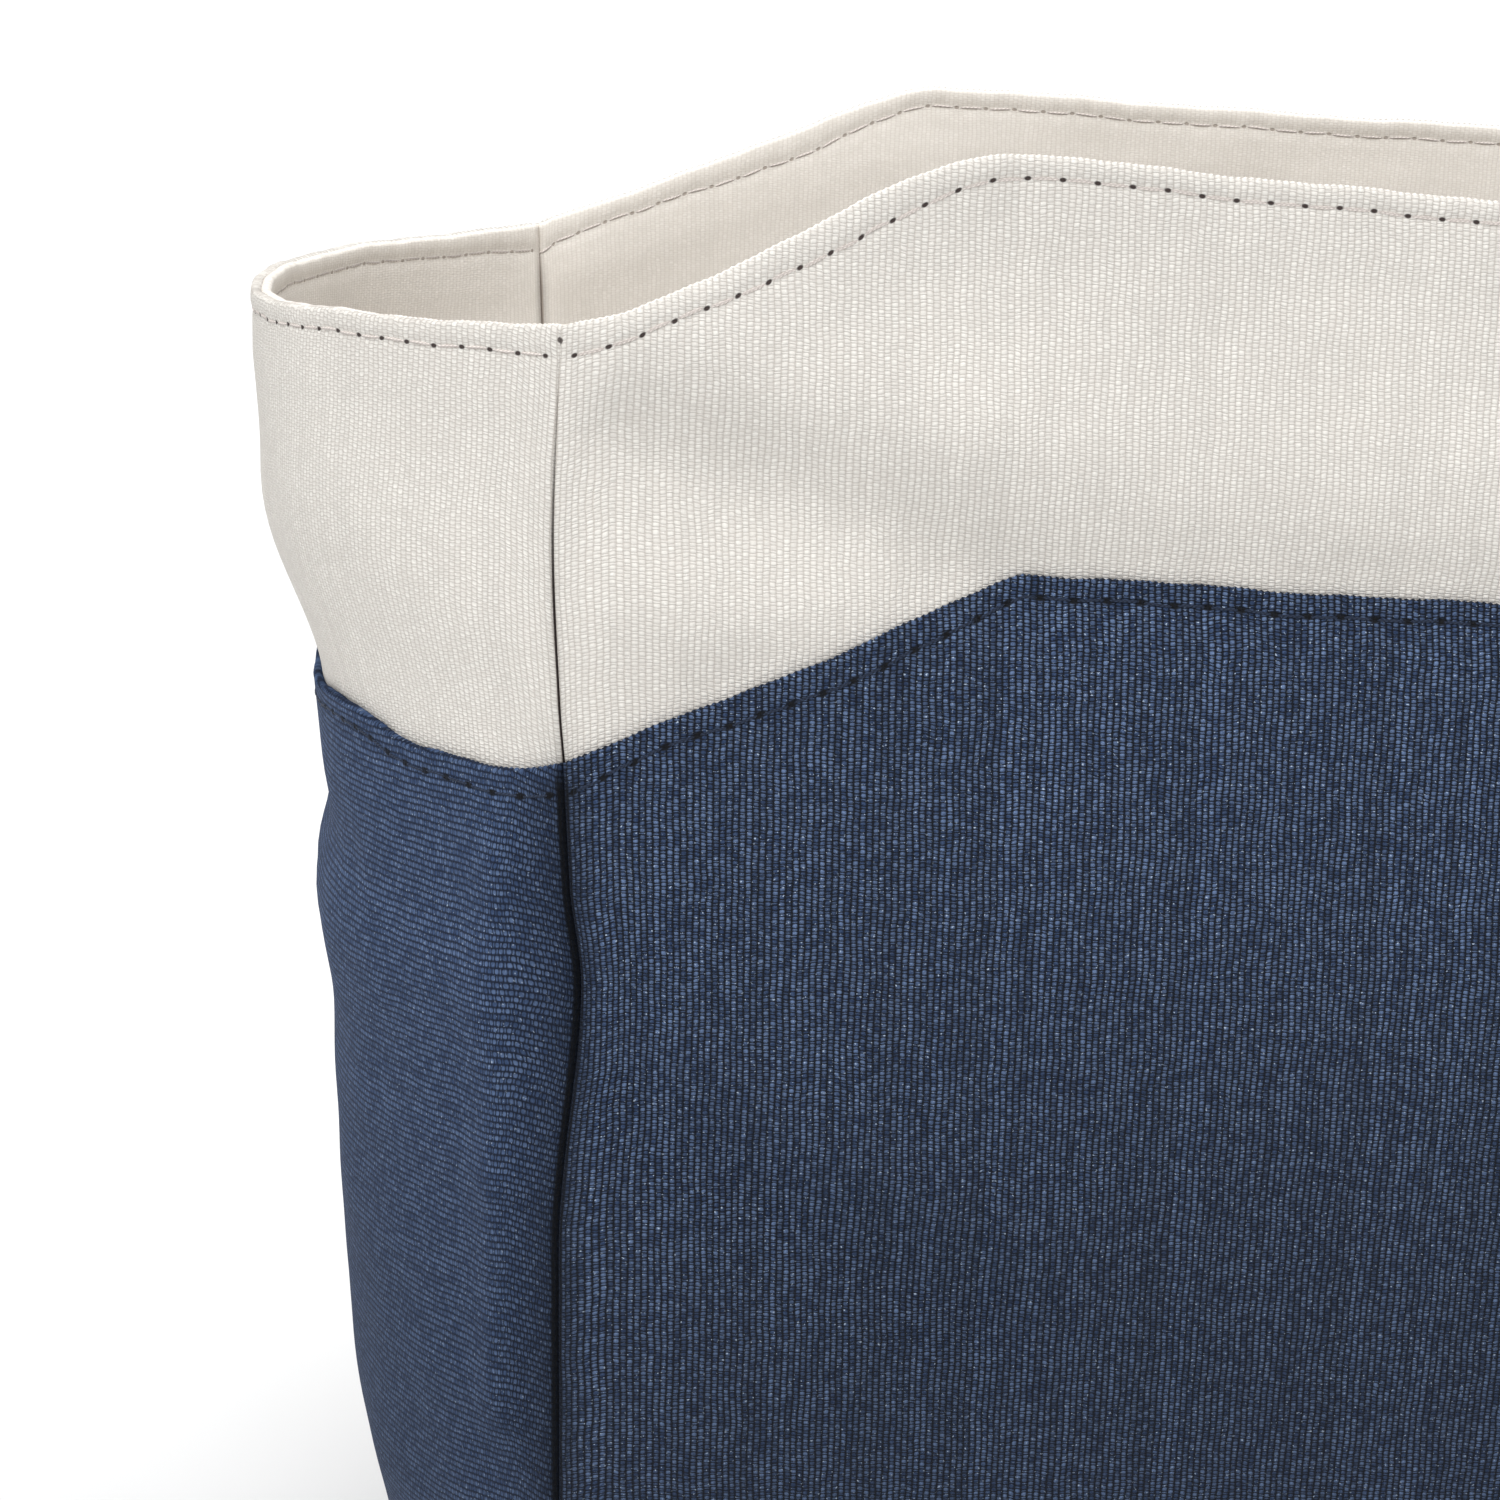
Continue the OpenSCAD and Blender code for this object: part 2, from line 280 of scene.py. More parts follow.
class Wall:
    """One wall of the bin. The back and right walls are the front and left ones turned half round."""

    def __init__(self, name, plan, turned, creases, seed, rise=0.0, shoulder=1.0, even=1.0, sag=0.0):
        self.name, self.seed = name, seed
        self.plan, self.creases = plan, creases
        self.turn = -1 if turned else 1
        self.rise, self.shoulder = rise, shoulder     # the raised rim's height and its slopes' length
        self.even = even      # share of a slope's height that rises evenly, the rest in an S curve
        self.sag = sag        # how far the raised rim hangs in its middle
        self.raised = plan is front_plan
        self.reach = RIM_HALF if self.raised else END_ARC[-1]

    def share(self, along):
        """s, from -1 to 1, of a distance along the rim from the wall's middle."""
        return along / RIM_HALF if self.raised else np.interp(along, END_ARC, END_SHARES)

    def from_seam(self, along):
        return self.reach - np.abs(along)

    def rim(self, along):
        inset = self.from_seam(along)
        reach = LIFT_REACH_RAISED if self.raised else LIFT_REACH_END
        lift = CORNER_LIFT * np.exp(-((inset / reach) ** 2))
        uneven = 0.22 * ripple(along, 26, self.seed) * smoothstep(inset / EDGE_CALM)
        if not self.raised:
            return CORNER_H - END_DIP * (1 - self.share(along) ** 2) ** 1.5 + lift + uneven
        t = inset / self.shoulder
        shoulder = self.rise * (self.even * rounded_ramp(t) + (1 - self.even) * smoothstep(t))
        sag = self.sag * np.clip(1 - (along / (RIM_HALF - self.shoulder)) ** 2, 0, None)
        return CORNER_H + shoulder - sag + lift + uneven

    def hem(self, along):
        inset = self.from_seam(along)
        uneven = 0.25 * ripple(along, 31, self.seed + 7) * smoothstep(inset / EDGE_CALM)
        if self.raised:
            sag = HEM_SAG * np.clip(1 - (along / (RIM_HALF - HEM_SHOULDER)) ** 2, 0, None)
            return CORNER_H - BAND_H + HEM_RISE * np.minimum(1, inset / HEM_SHOULDER) - sag + uneven
        rise = through(np.clip(inset, 0, END_HEM_INSETS[-1]), END_HEM_INSETS, END_HEM_RISES)
        return CORNER_H - BAND_H + rise + uneven

    def stitch_in(self, along):
        """Distance from a folded edge to its stitches, which run a little unevenly near a corner."""
        distances = STITCH_INS_RAISED if self.raised else STITCH_INS_END
        return through(np.clip(self.from_seam(along), 0, 60), STITCH_INSETS, distances)

    def crease(self, along, z):
        """How far the whole wall stands out from its plain surface."""
        total = 0.28 * swell(along, z, 46, self.seed) + 0.12 * swell(along, z, 17, self.seed + 1)
        for crease in self.creases:
            total = total + crease.at(along, z)
        return total * smoothstep(self.from_seam(along) / CREASE_CALM) * smoothstep(z / CREASE_FOOT)

    def drawn_in(self, along, z):
        """How far the wall dips towards its corner seams."""
        reach = SEAM_REACH_RAISED if self.raised else SEAM_REACH_END
        near = np.clip(1 - self.from_seam(along) / reach, 0, 1)
        return through(np.clip(z, 0, CORNER_H), SEAM_HEIGHTS, SEAM_DEPTHS) * near * near

    def wander(self, along, z):
        side = np.where(along < 0, -1, 1)
        shift = 0
        for end in (-1, 1):
            quadrant = (end, -1) if self.raised else (-1, end)
            points = SEAM_WANDER[tuple(int(q * self.turn) for q in quadrant)]
            heights, shifts = zip(*points)
            shift = shift + np.where(side == end, through(np.clip(z, 0, CORNER_H), heights, shifts), 0)
        return self.turn * shift * np.exp(-((self.from_seam(along) / WANDER_REACH) ** 2))

    def inwards(self, along, z):
        """The level direction into the bin, turning to the seam's mitre close to a corner."""
        s = self.share(along)
        nx, ny = unit(*self.plan(s, z)[2:])
        end = np.sign(s) + (s == 0)
        near = spread(-1.0, s)
        fx, fy = unit(*front_plan(end if self.raised else near, z)[2:])
        ex, ey = unit(*end_plan(near if self.raised else end, z)[2:])
        if self.raised:
            ex = -end * ex
        else:
            fy = -end * fy
        cosine = fx * ex + fy * ey
        mx, my = (fx + ex) / (1 + cosine), (fy + ey) / (1 + cosine)
        turn = smoothstep(1 - self.from_seam(along) / MITRE_REACH)
        return nx + (mx - nx) * turn, ny + (my - ny) * turn

    def point(self, along, z, depth):
        """A point of the wall in millimetres, at a depth in from the navy's outer face."""
        x, y, _, _ = self.plan(self.share(along), z)
        ix, iy = self.inwards(along, z)
        deep = depth - self.crease(along, z) + self.drawn_in(along, z)
        x = x + deep * ix + self.wander(along, z)
        y = y + deep * iy
        return np.stack(np.broadcast_arrays(self.turn * x, self.turn * y, z), -1)

    def columns(self):
        """Distances along the wall of the mesh's columns: two to a rib, and closer at the seams."""
        count = int(self.reach / (RIB / 2) - 0.6)
        ribs = np.arange(-count, count + 1) * RIB / 2
        close = self.reach - np.array(SEAM_COLUMNS)
        return np.sort(np.concatenate([ribs, close, -close]))


WALLS = (
    Wall("front", front_plan, False, FRONT_CREASES, 11, rise=23.1, shoulder=51.6, even=0.4, sag=3.2),
    Wall("back", front_plan, True, BACK_CREASES, 23, rise=23.3, shoulder=54.0, even=0.9, sag=1.4),
    Wall("left", end_plan, False, LEFT_CREASES, 37),
    Wall("right", end_plan, True, RIGHT_CREASES, 41),
)


# ---------------------------------------------------------------- meshes
def mesh_object(name, points, quads, triangles=(), marks=None):
    """An object from arrays of points in millimetres, faces, and vector attributes of its points."""
    mesh = bpy.data.meshes.new(name)
    quads, triangles = np.asarray(quads).reshape(-1, 4), np.asarray(triangles).reshape(-1, 3)
    corners = np.concatenate([quads.ravel(), triangles.ravel()]).astype(np.int32)
    starts = np.concatenate([np.arange(len(quads)) * 4, quads.size + np.arange(len(triangles)) * 3])
    mesh.vertices.add(len(points))
    mesh.vertices.foreach_set("co", (np.asarray(points) * MM).astype(np.float32).ravel())
    mesh.loops.add(len(corners))
    mesh.loops.foreach_set("vertex_index", corners)
    mesh.polygons.add(len(starts))
    mesh.polygons.foreach_set("loop_start", starts.astype(np.int32))
    mesh.update(calc_edges=True)
    for title, values in (marks or {}).items():
        mark = mesh.attributes.new(title, "FLOAT_VECTOR", "POINT")
        mark.data.foreach_set("vector", np.asarray(values, np.float32).ravel())
    mesh.shade_smooth()
    made = bpy.data.objects.new(name, mesh)
    bpy.context.scene.collection.objects.link(made)
    return made


def ring_quads(rows, columns):
    """Faces of a grid whose rows close on themselves, outwards where rows go up, over and down inside."""
    row, column = np.meshgrid(np.arange(rows), np.arange(columns - 1), indexing="ij")
    after = (row + 1) % rows
    a, b = row * columns + column, row * columns + column + 1
    c, d = after * columns + column + 1, after * columns + column
    return np.stack([a, b, c, d], -1).reshape(-1, 4)


def end_cap(heights, up, down, flip):
    """Triangles that close one end of a sheet, between its rows going up and its rows coming down."""
    faces, i, j = [], 0, 0
    down = down[::-1]
    while i < len(up) - 1 or j < len(down) - 1:
        step_up = j == len(down) - 1 or (i < len(up) - 1 and heights[up[i + 1]] <= heights[down[j + 1]])
        third = up[i + 1] if step_up else down[j + 1]
        faces.append((up[i], third, down[j]) if flip else (up[i], down[j], third))
        i, j = i + step_up, j + (not step_up)
    return faces


# ---------------------------------------------------------------- layers of cloth
@dataclass
class Layer:
    """One layer of a wall: its depths, the side of it that shows, and how its edge and seams are sewn."""
    name: str
    depths: tuple
    shown: int            # -1 where its outer face shows, 1 where its inner face does
    roll: float           # radius at which it turns in at the corner seams
    roll_depth: float
    puff: float           # how far the folded edge swells between its stitches and its top
    groove: float         # how far the stitches pull the cloth in
    groove_width: float
    proud: float          # how far the thread stands out of its groove
    bead: float           # how far the ribs stand out along the fold
    shut: float           # how much less it turns in where the seam closes up, near the fold

    def ribs_lie_level(self, wall):
        """Whether the cloth is cut crosswise, as the navy of the end walls is."""
        return self.name == "skin" and not wall.raised

    def faces(self):
        """Depths of the face that shows and of the one behind it."""
        return self.depths if self.shown < 0 else self.depths[::-1]


SKIN_LAYER = Layer("skin", SKIN, -1, roll=2.0, roll_depth=1.1, puff=0.34, groove=0.36, groove_width=0.55,
                   proud=1.35, bead=0.10, shut=0.0)
BAND_LAYER = Layer("cream", BAND, -1, roll=0.9, roll_depth=0.75, puff=0.22, groove=0.24, groove_width=0.55,
                   proud=1.35, bead=0.09, shut=0.75)
LINING_LAYER = Layer("inside", LINING, 1, roll=0.9, roll_depth=0.7, puff=0.16, groove=0.18,
                     groove_width=0.9, proud=0.75, bead=0.07, shut=0.4)
PUFF_EVEN = 0.85          # share of the puff and of the groove that stays the same along a stitch
GROOVE_EVEN = 0.72
DOUBLED = 0.18            # how far a turned-down edge stands out, and how deep it reaches
DOUBLED_REACH = 11.0


def edge_run(edge, along):
    """Length run along an edge, and how much longer its slope makes a level step."""
    slope = np.gradient(edge, along)
    stretch = np.sqrt(1 + slope * slope)
    return np.cumsum(np.concatenate([[0], np.diff(along) * (stretch[1:] + stretch[:-1]) / 2])), stretch


def face_depth(layer, stitch_in, run, below, from_seam):
    """Depth of the face that shows, at a distance below the folded edge."""
    swollen = layer.puff * np.sin(math.pi * np.clip(below / stitch_in, 0, 1)) ** 0.8
    swollen = swollen * (PUFF_EVEN + (1 - PUFF_EVEN) * np.cos(2 * math.pi * (run / STITCH - 0.5)))
    pulled = layer.groove * np.exp(-(((below - stitch_in) / layer.groove_width) ** 2))
    pulled = pulled * (GROOVE_EVEN + (1 - GROOVE_EVEN) * np.cos(2 * math.pi * run / STITCH))
    doubled = DOUBLED * smoothstep((DOUBLED_REACH - below) / 2.5)
    turned = np.clip(1 - from_seam / layer.roll, 0, 1)
    rolled = layer.roll_depth * (1 - np.sqrt(1 - turned * turned))
    rolled = rolled * (1 - layer.shut * (1 - smoothstep((below - 2) / 14)))
    fade = smoothstep(from_seam / 1.2)
    face, _ = layer.faces()
    return face + layer.shown * ((swollen + doubled) * fade - pulled * fade - rolled)


def shown_heights(top, bottom, stretch, radius):
    """Heights of the rows up the face that shows: coarse ones, then fine ones near the folded edge."""
    deep = top - bottom - FINE_ZONE * stretch
    shares = np.linspace(0, 1, max(3, int(np.max(deep) / COARSE)) + 1)
    coarse = [top - FINE_ZONE * stretch - share * deep for share in shares[::-1]]
    fine = [top - below * stretch for below in np.arange(radius, FINE_ZONE, FINE)[::-1]]
    return np.array(coarse + fine)


def fold_rows(layer, top, stretch, bead, start, radius):
    """Heights and depths of the rows over the fold, beaded by the ribs that cross it."""
    _, behind = layer.faces()
    heights, depths = [], []
    for angle in np.linspace(0, math.pi, FOLD_STEPS + 2)[1:-1]:
        heights.append(top - (radius - (radius + bead) * math.sin(angle)) * stretch)
        level = (start + behind) / 2 + (start - behind) / 2 * math.cos(angle)
        depths.append(level + layer.shown * bead * math.cos(angle))
    return heights, depths


def sheet_ends(z, turning):
    """Triangles that close both ends of a sheet, whose rows come down again from the turning one on."""
    rows, columns = z.shape
    up, down = np.arange(turning), np.arange(turning, rows)
    first = np.array(end_cap(z[:, 0], up, down, True)) * columns
    last = np.array(end_cap(z[:, -1], up, down, False)) * columns + columns - 1
    return np.concatenate([first, last])


def wall_cloth(wall, layer, foot, edge, foot_roll=0.0):
    """A closed sheet of one layer of one wall, between its foot and its folded edge."""
    along = wall.columns()
    top, bottom = edge(along), foot(along)
    run, stretch = edge_run(top, along)
    seam = wall.from_seam(along)
    stitch_in = wall.stitch_in(along)
    radius = (layer.depths[1] - layer.depths[0]) / 2

    shown = shown_heights(top, bottom, stretch, radius)
    face = face_depth(layer, stitch_in, run, (top - shown) / stretch, seam)
    if foot_roll:
        low = np.clip(1 - shown / foot_roll, 0, 1)
        face = np.maximum(face, (1 - np.sqrt(1 - low * low)) * layer.roll_depth)
    bead = layer.bead * np.cos(2 * math.pi * along / RIB) * smoothstep(seam / 1.5)
    fold, fold_depth = fold_rows(layer, top, stretch, bead, face[-1], radius)
    turn_down = top - radius * stretch
    shares = np.linspace(0, 1, int(np.max(top - bottom) / HIDDEN_STEP))
    hidden = np.array([turn_down - share * (turn_down - bottom) for share in shares])

    z = np.concatenate([shown, fold, hidden])
    depth = np.concatenate([face, fold_depth, spread(layer.faces()[1], hidden)])
    wide = np.broadcast_to(along, z.shape)
    quads, triangles = ring_quads(*z.shape), sheet_ends(z, len(shown) + FOLD_STEPS)
    if layer.shown > 0:
        quads, triangles = quads[:, ::-1], triangles[:, ::-1]
    climb = z - WEFT_CLIMB * np.minimum(seam, SEAM_PULL)
    grain = (climb, wide, 0.0) if layer.ribs_lie_level(wall) else (wide, climb, 0.0)
    flat = [np.broadcast_to(a, z.shape) for a in (*grain, run, (top - z) / stretch - stitch_in, seam)]
    marks = {"grain": np.stack(flat[:3], -1), "sewn": np.stack(flat[3:], -1)}
    points = wall.point(wide, z, depth).reshape(-1, 3)
    return mesh_object(f"{layer.name}_{wall.name}", points, quads, triangles, marks)


# ---------------------------------------------------------------- stitches
THREAD_R = 0.19
TUBE_SIDES = 8
TUBE_RINGS = 9
STITCH_GAP = 0.06         # share of a stitch's length left free at each end
STITCH_SKEW = 0.05


def unit_vectors(vectors):
    return vectors / np.linalg.norm(vectors, axis=-1, keepdims=True)


def stitch_row(wall, layer, edge, seed):
    """The stitches of one row as points and faces of small tubes that dive into the cloth at both ends."""
    fine = np.linspace(-wall.reach, wall.reach, 2400)
    run, stretch = edge_run(edge(fine), fine)
    count = int(run[-1] / STITCH)
    t = np.linspace(0, 1, TUBE_RINGS)
    at_run = (np.arange(count)[:, None] + 0.5 + STITCH_GAP + (1 - 2 * STITCH_GAP) * t) * STITCH
    along = np.interp(at_run, run, fine)
    stitch_in = wall.stitch_in(along)
    skew = np.random.default_rng(seed).normal(0, STITCH_SKEW, (2, count, 1))
    below = stitch_in + skew[0] + skew[1] * (t - 0.5)
    z = np.interp(along, fine, edge(fine)) - below * np.interp(along, fine, stretch)
    rise = THREAD_R * (layer.proud * np.sin(math.pi * t) ** 0.55 - 0.95)
    depth = face_depth(layer, stitch_in, at_run, below, wall.from_seam(along)) + layer.shown * rise
    centre = wall.point(along, z, depth)
    tangent = unit_vectors(np.gradient(centre, axis=1))
    out = wall.point(along, z, depth + layer.shown) - centre
    out = unit_vectors(out - (out * tangent).sum(-1, keepdims=True) * tangent)
    side = np.cross(tangent, out)
    turn = np.linspace(0, 2 * math.pi, TUBE_SIDES, endpoint=False)
    thick = THREAD_R * (0.62 + 0.38 * np.sin(math.pi * t) ** 0.5)
    ring = np.cos(turn)[:, None] * out[:, :, None, :] + np.sin(turn)[:, None] * side[:, :, None, :]
    points = centre[:, :, None, :] + thick[None, :, None, None] * ring
    quads, triangles = tube_faces()
    steps = (np.arange(count) * TUBE_RINGS * TUBE_SIDES)[:, None, None]
    number = (np.arange(count) + seed)[:, None, None]
    marks = np.stack(np.broadcast_arrays(at_run[:, :, None], turn, number), -1)
    return (points.reshape(-1, 3), (quads + steps).reshape(-1, 4), (triangles + steps).reshape(-1, 3),
            marks.reshape(-1, 3))


def tube_faces():
    ring, side = np.meshgrid(np.arange(TUBE_RINGS - 1), np.arange(TUBE_SIDES), indexing="ij")
    after = (side + 1) % TUBE_SIDES
    a, b = ring * TUBE_SIDES + side, ring * TUBE_SIDES + after
    quads = np.stack([a, b, b + TUBE_SIDES, a + TUBE_SIDES], -1).reshape(-1, 4)
    fan = np.arange(1, TUBE_SIDES - 1)
    first = np.stack([0 * fan, fan + 1, fan], -1)
    last = first[:, ::-1] + (TUBE_RINGS - 1) * TUBE_SIDES
    return quads, np.concatenate([first, last])


def stitches(name, rows):
    """One object from several rows of stitches."""
    points, quads, triangles, marks, base = [], [], [], [], 0
    for p, q, f, m in rows:
        points.append(p)
        quads.append(q + base)
        triangles.append(f + base)
        marks.append(m)
        base += len(p)
    return mesh_object(name, np.concatenate(points), np.concatenate(quads), np.concatenate(triangles),
                       {"grain": np.concatenate(marks)})


# ---------------------------------------------------------------- floor cloths and the loose pad
PAD_CORNER_R = 8.0
PAD_EDGE_R = 1.2
PAD_EDGE_INSETS = (0.0, 0.05, 0.15, 0.3, 0.5, 0.8, 1.2, 2.5, 5.0)
PAD_RINGS = 24
PAD_CORNER_STEPS = 13
PAD_SIDE_STEPS = 60
PAD_SAG = 0.22
FLOOR_GRID = (150, 64)
FLOOR_CALM = 6.0          # the floor's unevenness fades out this close to its edge
FLOOR_UNEVEN = 0.12
FLOOR_SEED = 61
FAR = 99.0                # a distance from stitches and seams at which they leave no mark


def floor_half(b, depth, z):
    """Half the width of the floor at a share b of its depth, inside the walls at height z."""
    x, _, _, _ = end_plan(b, z)
    return -x - depth


def floor_cloth(name, depth, low, high, wide_at):
    """A closed sheet over the floor between the walls' feet, as wide as they leave it at height wide_at."""
    across, deep = FLOOR_GRID
    a, b = np.linspace(-1, 1, across), np.linspace(-1, 1, deep)
    a, b = np.meshgrid(np.sign(a) * np.abs(a) ** 0.8, np.sign(b) * np.abs(b) ** 0.8)
    half_x, half_y = floor_half(b, depth, wide_at), HALF_D - depth
    x, y = a * half_x, b * half_y
    calm = smoothstep(np.minimum(half_x - np.abs(x), half_y - np.abs(y)) / FLOOR_CALM)
    top = high + FLOOR_UNEVEN * swell(x, y, 38, FLOOR_SEED) * calm
    points = np.concatenate([np.stack([x, y, top], -1).reshape(-1, 3),
                             np.stack([x, y, spread(low, x)], -1).reshape(-1, 3)])
    n = across * deep
    i, j = np.meshgrid(np.arange(deep - 1), np.arange(across - 1), indexing="ij")
    p = (i * across + j).ravel()
    upper = np.stack([p, p + 1, p + across + 1, p + across], -1)
    lower = upper[:, ::-1] + n
    grid = np.arange(n).reshape(deep, across)
    loop = np.concatenate([grid[0], grid[1:, -1], grid[-1, -2::-1], grid[-2:0:-1, 0]])
    after = np.roll(loop, -1)
    rim = np.stack([loop, loop + n, after + n, after], -1)
    return mesh_object(name, points, np.concatenate([upper, lower, rim]), (), plain_marks(x, y, 2))


def plain_marks(x, y, times_over=1):
    """Marks of a cloth that lies flat, away from any row of stitches or corner seam."""
    grain = np.concatenate([np.stack([x, y, spread(0, x)], -1).reshape(-1, 3)] * times_over)
    return {"grain": grain, "sewn": spread(FAR, grain)}


def rounded_ring(half_x, half_y, radius):
    """Points round a rectangle with rounded corners. Every ring has the same number of them."""
    points = []
    for quarter, (side_x, side_y) in enumerate(((1, 1), (-1, 1), (-1, -1), (1, -1))):
        angles = (quarter + np.linspace(0, 1, PAD_CORNER_STEPS)) * math.pi / 2
        x = side_x * (half_x - radius) + radius * np.cos(angles)
        y = side_y * (half_y - radius) + radius * np.sin(angles)
        points.append(np.stack([x, y], -1))
    ring = []
    for corner, following in zip(points, points[1:] + points[:1]):
        between = np.linspace(0, 1, PAD_SIDE_STEPS, endpoint=False)[1:, None]
        ring += [corner, corner[-1] + (following[0] - corner[-1]) * between]
    return np.concatenate(ring)


def pad_face(half_x, half_y, half_z):
    """Rings from the pad's edge to near its middle, and the height of each above the pad's mid level."""
    rings = []
    for inset in PAD_EDGE_INSETS:
        ring = rounded_ring(half_x - inset, half_y - inset, max(PAD_CORNER_R - inset, 1.0))
        left = 1 - min(1.0, inset / PAD_EDGE_R)
        rings.append((ring, half_z * math.sqrt(1 - left * left)))
    return rings + [(rings[-1][0] * pull, half_z) for pull in np.linspace(1, 0.02, PAD_RINGS)[1:]]


def pad_cover(name):
    """The pad's cloth sleeve: flat over its board, with a rounded edge all round."""
    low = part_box("pad_sleeve_bottom")[0] / MM
    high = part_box("pad_sleeve_top")[1] / MM
    mid, half_z = (low.z + high.z) / 2, (high.z - low.z) / 2
    face = pad_face(high.x, high.y, half_z)
    rows = [(ring, z, 1) for ring, z in face[::-1]] + [(ring, -z, 0) for ring, z in face[1:]]
    points = []
    for ring, z, upper in rows:
        x, y = ring.T
        sag = upper * PAD_SAG * (1 + swell(x, y, 55, 5)) / 2 * (z / half_z)
        points.append(np.stack([x, y, mid + z - sag], -1))
    turns, count = len(points[0]), len(rows)
    points += [points[0].mean(0, keepdims=True), points[-1].mean(0, keepdims=True)]
    points = np.concatenate(points)
    row, column = np.meshgrid(np.arange(count - 1), np.arange(turns), indexing="ij")
    after = (column + 1) % turns
    quads = np.stack([row * turns + column, (row + 1) * turns + column,
                      (row + 1) * turns + after, row * turns + after], -1)
    first, last = np.arange(turns), (count - 1) * turns + np.arange(turns)
    top, bottom = np.full(turns, count * turns), np.full(turns, count * turns + 1)
    triangles = np.concatenate([np.stack([top, first, np.roll(first, -1)], -1),
                                np.stack([bottom, np.roll(last, -1), last], -1)])
    return mesh_object(name, points, quads, triangles, plain_marks(points[:, 0], points[:, 1]))


# ---------------------------------------------------------------- materials
class Nodes:
    """Shorthand for building a material's node tree."""

    def __init__(self, name):
        self.material = bpy.data.materials.new(name)
        self.material.use_nodes = True
        self.tree = self.material.node_tree
        self.tree.nodes.clear()

    def add(self, kind, **settings):
        node = self.tree.nodes.new(kind)
        for key, value in settings.items():
            setattr(node, key, value)
        return node

    def feed(self, socket, value):
        if isinstance(value, bpy.types.NodeSocket):
            self.tree.links.new(value, socket)
        elif value is not None:
            socket.default_value = value

    def math(self, operation, a, b=None, c=None, clamp=False):
        node = self.add("ShaderNodeMath", operation=operation, use_clamp=clamp)
        for socket, value in zip(node.inputs, (a, b, c)):
            self.feed(socket, value)
        return node.outputs[0]

    def vector(self, x, y, z=0.0):
        node = self.add("ShaderNodeCombineXYZ")
        for socket, value in zip(node.inputs, (x, y, z)):
            self.feed(socket, value)
        return node.outputs[0]

    def mix(self, factor, a, b, blend="MIX"):
        node = self.add("ShaderNodeMix", data_type="RGBA", blend_type=blend)
        self.feed(node.inputs["Factor"], factor)
        self.feed(node.inputs[6], a)
        self.feed(node.inputs[7], b)
        return node.outputs[2]

    def noise(self, vector, scale, detail=2.0, roughness=0.5):
        node = self.add("ShaderNodeTexNoise")
        self.feed(node.inputs["Vector"], vector)
        node.inputs["Scale"].default_value = scale
        node.inputs["Detail"].default_value = detail
        node.inputs["Roughness"].default_value = roughness
        return node.outputs["Fac"]

    def white(self, vector):
        node = self.add("ShaderNodeTexWhiteNoise", noise_dimensions="3D")
        self.feed(node.inputs["Vector"], vector)
        return node.outputs["Value"]

    def step(self, low, high, value):
        node = self.add("ShaderNodeMapRange", interpolation_type="SMOOTHSTEP")
        self.feed(node.inputs["Value"], value)
        node.inputs["From Min"].default_value, node.inputs["From Max"].default_value = low, high
        return node.outputs[0]

    def attribute(self, name):
        node = self.add("ShaderNodeAttribute", attribute_name=name)
        split = self.add("ShaderNodeSeparateXYZ")
        self.tree.links.new(node.outputs["Vector"], split.inputs[0])
        return node.outputs["Vector"], split.outputs

    def finish(self, colour, roughness, height, depth, sheen, sheen_tint, specular=0.25):
        shader = self.add("ShaderNodeBsdfPrincipled")
        self.feed(shader.inputs["Base Color"], colour)
        self.feed(shader.inputs["Roughness"], roughness)
        shader.inputs["Specular IOR Level"].default_value = specular
        shader.inputs["Sheen Weight"].default_value = sheen
        shader.inputs["Sheen Roughness"].default_value = 0.5
        shader.inputs["Sheen Tint"].default_value = sheen_tint
        if height is not None:
            bump = self.add("ShaderNodeBump")
            bump.inputs["Distance"].default_value = depth * MM
            self.feed(bump.inputs["Height"], height)
            self.tree.links.new(bump.outputs[0], shader.inputs["Normal"])
        out = self.add("ShaderNodeOutputMaterial")
        self.tree.links.new(shader.outputs[0], out.inputs[0])
        return self.material


def srgb(red, green, blue):
    """A linear colour from 0-255 display values."""
    def linear(c):
        c /= 255
        return c / 12.92 if c <= 0.04045 else ((c + 0.055) / 1.055) ** 2.4
    return (linear(red), linear(green), linear(blue), 1.0)


@dataclass
class Canvas:
    """A plain-woven canvas: its colours, how strongly its weave, holes and seams show, and the shade
    painted into its gaps, pits, holes, seams and foot.
    """
    name: str
    pit: tuple            # painted shade in the small holes where four threads meet
    gap: tuple            # painted shade between two ribs
    dark: tuple
    light: tuple
    fleck: tuple
    fleck_share: float
    gap_heights: tuple    # heights of the weave between which the gap's colour gives way
    relief: float
    rib: float
    sheen: float
    sheen_tint: tuple
    thread_spread: float
    hole: tuple           # painted shade in the needle holes and in the corner seams
    hole_size: tuple
    seam_gap: float       # half the width of the painted shadow line where two walls meet
    painted_seam_shade: float     # how much painted shade darkens the cloth towards a seam
    seam_reach: float
    seam_opens: tuple     # distances below the stitches between which a seam starts to gape
    corner_gap: float     # how dark the painted shadow is in the gap between two walls' folded edges
    painted_foot_shade: float     # painted shade: how much darker the cloth is at its foot than near its edge
